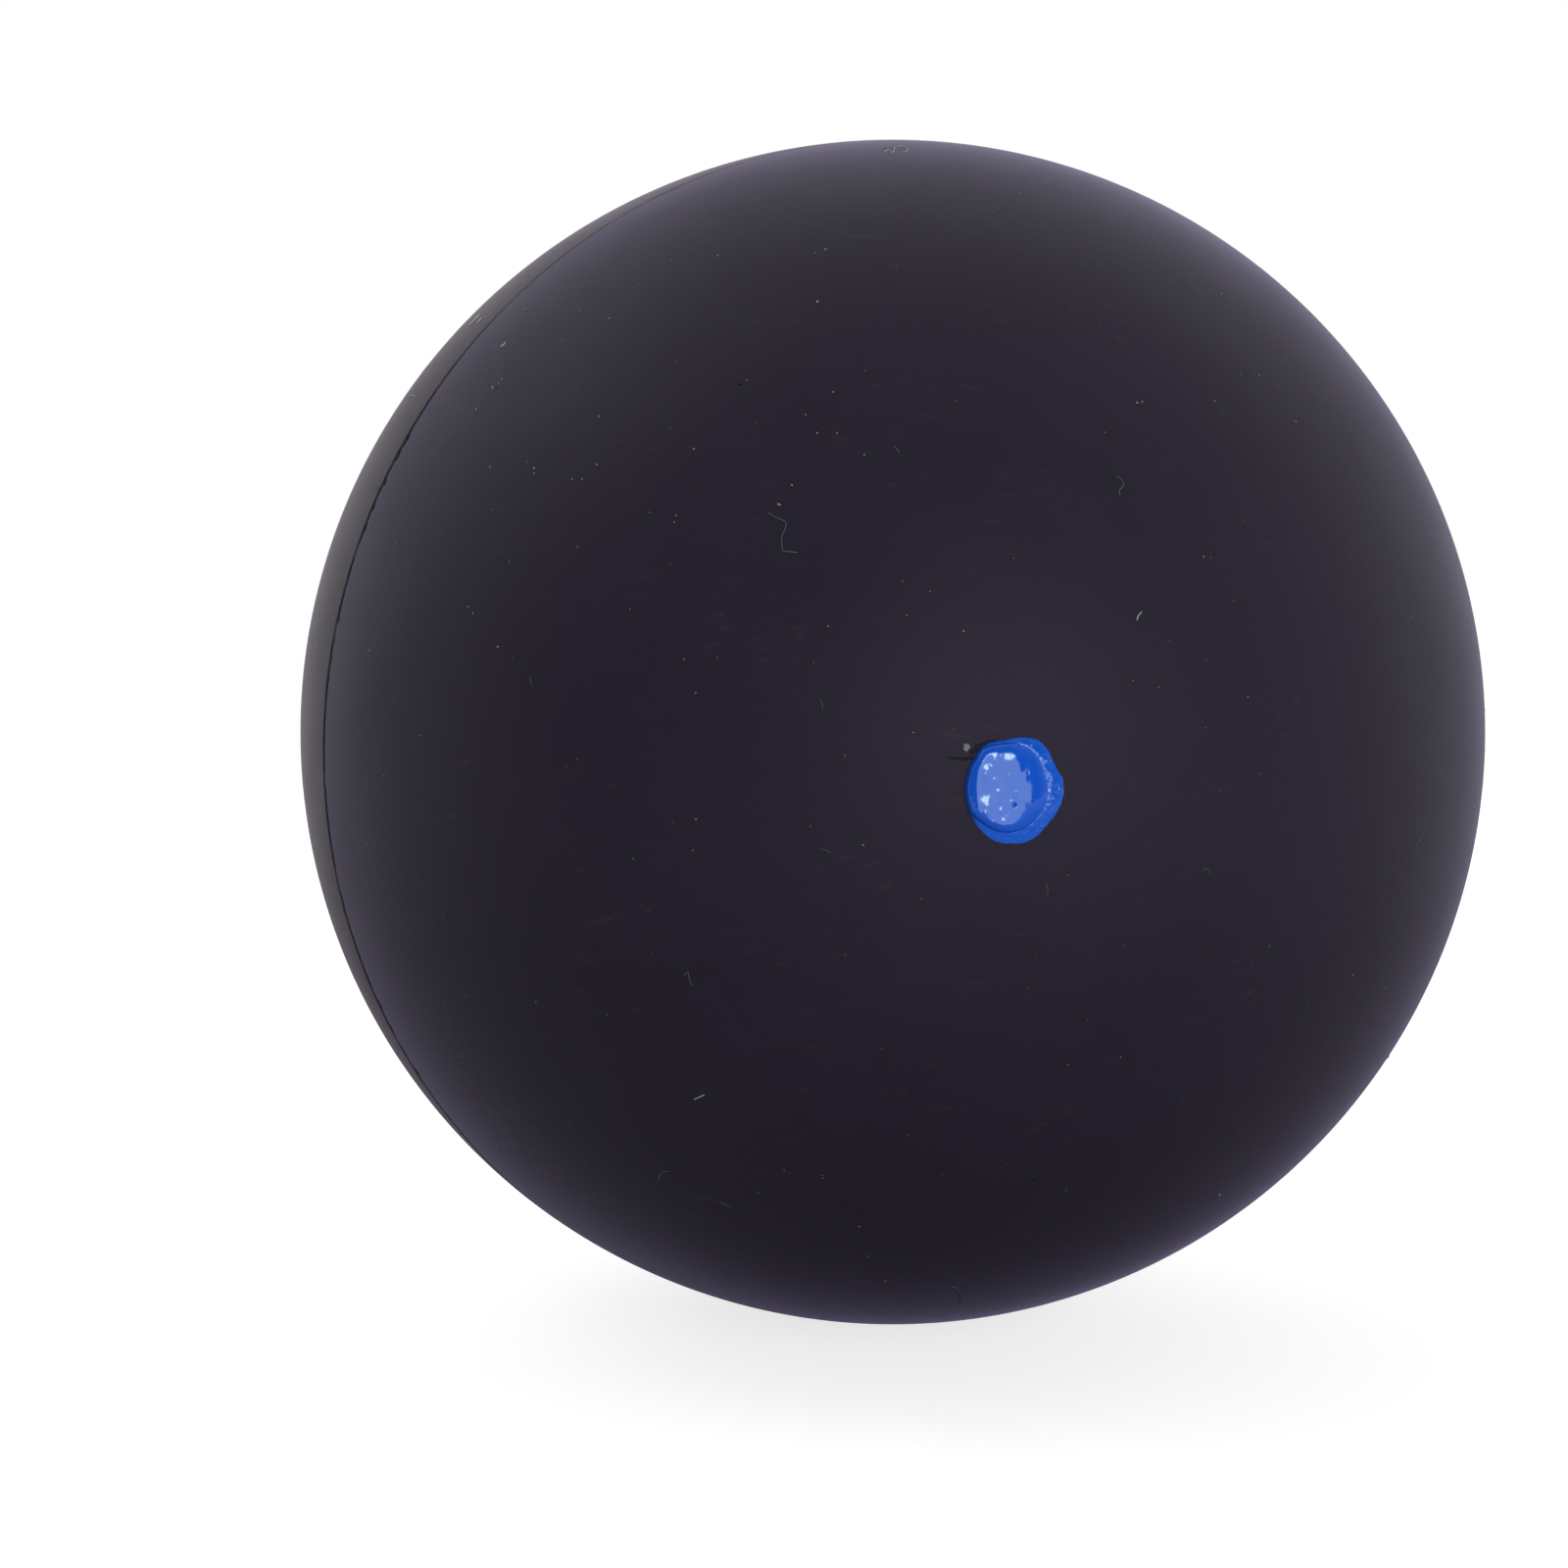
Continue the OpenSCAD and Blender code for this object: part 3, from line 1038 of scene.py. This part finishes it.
def paint(name, deep, thin, ripple_mm):
    """Thick gloss paint, a little paler where it is thin, with a few specks of dust."""
    material, tree, shader = new_material(name)
    place = place_in_mm(tree)
    grain = use_group(tree, grain_group, Place=place, Grain_Size=0.14, Mottle_Size=0.6)
    dust = use_group(tree, dust_group, Place=place, Spacing=0.3, Speck_Size=0.015, Amount=0.5)["Mask"]
    color = blend(tree, grain["Mottle"], deep, thin)
    color = blend(tree, reckon(tree, "MULTIPLY", dust, DUST_ON_PAINT), color, DUST)
    tree.links.new(color, shader.inputs["Base Color"])
    tree.links.new(span(tree, grain["Mottle"], 0.0, 1.0, 0.08, 0.13), shader.inputs["Roughness"])
    set_shader(shader, IOR=1.5, Specular_Tint=(0.8, 1, 1, 1))
    bumped(tree, shader, grain["Height"], ripple_mm)
    return material


def fluff(name, color):
    """Pale fibre or dust, matte all over."""
    material, tree, shader = new_material(name)
    place = place_in_mm(tree)
    grain = use_group(tree, grain_group, Place=place, Grain_Size=0.03, Mottle_Size=0.8)
    darker = tuple(FLUFF_DARKER * c for c in color[:3]) + (1,)
    tree.links.new(blend(tree, grain["Mottle"], darker, color), shader.inputs["Base Color"])
    tree.links.new(span(tree, grain["Height"], 0.0, 1.5, 0.6, 0.9), shader.inputs["Roughness"])
    return material


# The ball

make_camera()
front_turn = Matrix.Rotation(math.radians(90), 4, "X")
rear_turn = Matrix.Rotation(math.radians(-90), 4, "X")
blue_drop = paint("blue_paint_drop", PAINT, PAINT, ripple_mm=0.002)
blue_coat = paint("blue_paint_coat", PAINT, PAINT_THIN, ripple_mm=0.006)

pieces = (
    (half_shell("front_shell", rubber("front_rubber", 0.4, 0.4, marked=True), front_turn, Vector((2, 7, 1))),
     "front_half_shell", "shell_rubber"),
    (half_shell("rear_shell", rubber("rear_rubber", 0.5, 1.0), rear_turn, Vector((8, 2, 8))),
     "rear_half_shell", "shell_rubber"),
    (seam_glue(glue(), front_turn), "seam_adhesive", "cured_adhesive"),
    (base_coat(blue_coat), "dot_base_coat", "dot_paint"),
    (top_drop(blue_drop), "dot_top_drop", "dot_paint"),
)
for piece, stands_for, slot in pieces:
    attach(piece, "root")
    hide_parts(stands_for)

litters = (
    lint_fibres("lint_fibres", fluff("lint", LINT), FAINT_LINT_PX, LOOSE_LINT),
    lint_fibres("bright_lint", fluff("pale_lint", BRIGHT_LINT), BRIGHT_LINT_PX, 0),
    dust_specks(fluff("dust_flakes", FLAKE)),
)
for litter in litters:
    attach(litter, "root")


# Floor and light

FLOOR_R = 150 * MM
FLOOR_SIDES = 128
FLOOR_PALE = (0.65, 0.65, 0.65, 1)
# How dark its darker patches are, as a share of that
FLOOR_MOTTLE = 0.985
# What the floor adds to itself where it is seen, to be white like the room behind it
FLOOR_FILL = 0.75
# Mirrored, it starts that far from the ball in metres, so that the ball shows its own shadow on the floor
FILL_STARTS = (0.05, 0.14)
# How bright the room is where it is seen or mirrored, and as a lamp
BACKGROUND = 1.0
ROOM_LIGHT = 0.8
# The room is white behind the ball and dimmer in front of it: where the change starts and ends, as the
# cosine of the angle from the front, and the level at each of the two
ROOM_FRONT = (-0.35, 0.55, 1.0, 0.12)
# Softboxes: right, up and toward the camera as seen from the ball, distance and side in metres, brightness
SOFTBOXES = (
    ("front_box", (0.35, -0.02, 0.93), 0.9, 0.68, 3.15),
    ("spark_box", (0.317, 0.046, 0.948), 0.8, 0.13, 14.0),
    ("top_left_box", (-0.7, 0.8, -0.1), 0.8, 0.4, 1.3),
)


def seen_directly(tree):
    """One for rays that show the surroundings: the camera's, and those mirrored or let through."""
    path = put(tree, "ShaderNodeLightPath").outputs
    seen = reckon(tree, "MAXIMUM", path["Is Camera Ray"], path["Is Glossy Ray"])
    return reckon(tree, "MAXIMUM", seen, path["Is Transmission Ray"])


def make_floor():
    mesh = bpy.data.meshes.new("floor")
    rim = [(FLOOR_R * math.cos(a), FLOOR_R * math.sin(a), -ball_r) for a in turns(FLOOR_SIDES)]
    mesh.from_pydata(rim, [], [range(FLOOR_SIDES)])
    material, tree, shader = new_material("pale_floor")
    grain = use_group(tree, grain_group, Place=place_in_mm(tree), Grain_Size=0.8, Mottle_Size=60.0)
    darker = tuple(c * FLOOR_MOTTLE for c in FLOOR_PALE)
    tree.links.new(blend(tree, grain["Mottle"], FLOOR_PALE, darker), shader.inputs["Base Color"])
    set_shader(shader, Roughness=0.9, Specular_IOR_Level=0.1, Emission_Color=(1, 1, 1, 1))
    place = put(tree, "ShaderNodeTexCoord").outputs["Object"]
    away = vector_math(tree, "LENGTH", place)["Value"]
    camera_ray = put(tree, "ShaderNodeLightPath").outputs["Is Camera Ray"]
    mirrored = reckon(tree, "MULTIPLY", seen_directly(tree), span(tree, away, *FILL_STARTS))
    seen = reckon(tree, "MAXIMUM", camera_ray, mirrored)
    tree.links.new(reckon(tree, "MULTIPLY", seen, FLOOR_FILL), shader.inputs["Emission Strength"])
    mesh.materials.append(material)
    floor = bpy.data.objects.new("floor", mesh)
    bpy.context.scene.collection.objects.link(floor)


def make_light():
    """A white room, seen at full strength by the camera and in reflections, and plain softboxes."""
    world = bpy.data.worlds.new("white_room")
    world.use_nodes = True
    tree = world.node_tree
    sky = tree.nodes["Background"]
    level = span(tree, seen_directly(tree), 0.0, 1.0, ROOM_LIGHT, BACKGROUND)
    front = tuple(toward_camera.xy.normalized()) + (0,)
    looking = put(tree, "ShaderNodeTexCoord").outputs["Generated"]
    ahead = vector_math(tree, "DOT_PRODUCT", looking, front)["Value"]
    depth = span(tree, ahead, *ROOM_FRONT)
    camera_ray = put(tree, "ShaderNodeLightPath").outputs["Is Camera Ray"]
    strength = reckon(tree, "MULTIPLY", level, reckon(tree, "MAXIMUM", depth, camera_ray))
    tree.links.new(strength, sky.inputs["Strength"])
    sky.inputs["Color"].default_value = (1, 1, 1, 1)
    bpy.context.scene.world = world
    for name, (right, up, near), distance, side, bright in SOFTBOXES:
        data = bpy.data.lights.new(name, "AREA")
        data.shape = "SQUARE"
        data.size = side
        data.energy = bright * math.pi * side ** 2
        light = bpy.data.objects.new(name, data)
        direction = (camera_right * right + camera_up * up + toward_camera * near).normalized()
        light.location = direction * distance
        light.rotation_mode = "QUATERNION"
        light.rotation_quaternion = (-direction).to_track_quat("-Z", "Y")
        light.visible_camera = False
        bpy.context.scene.collection.objects.link(light)


make_floor()
make_light()
bpy.context.scene.view_settings.view_transform = "Standard"
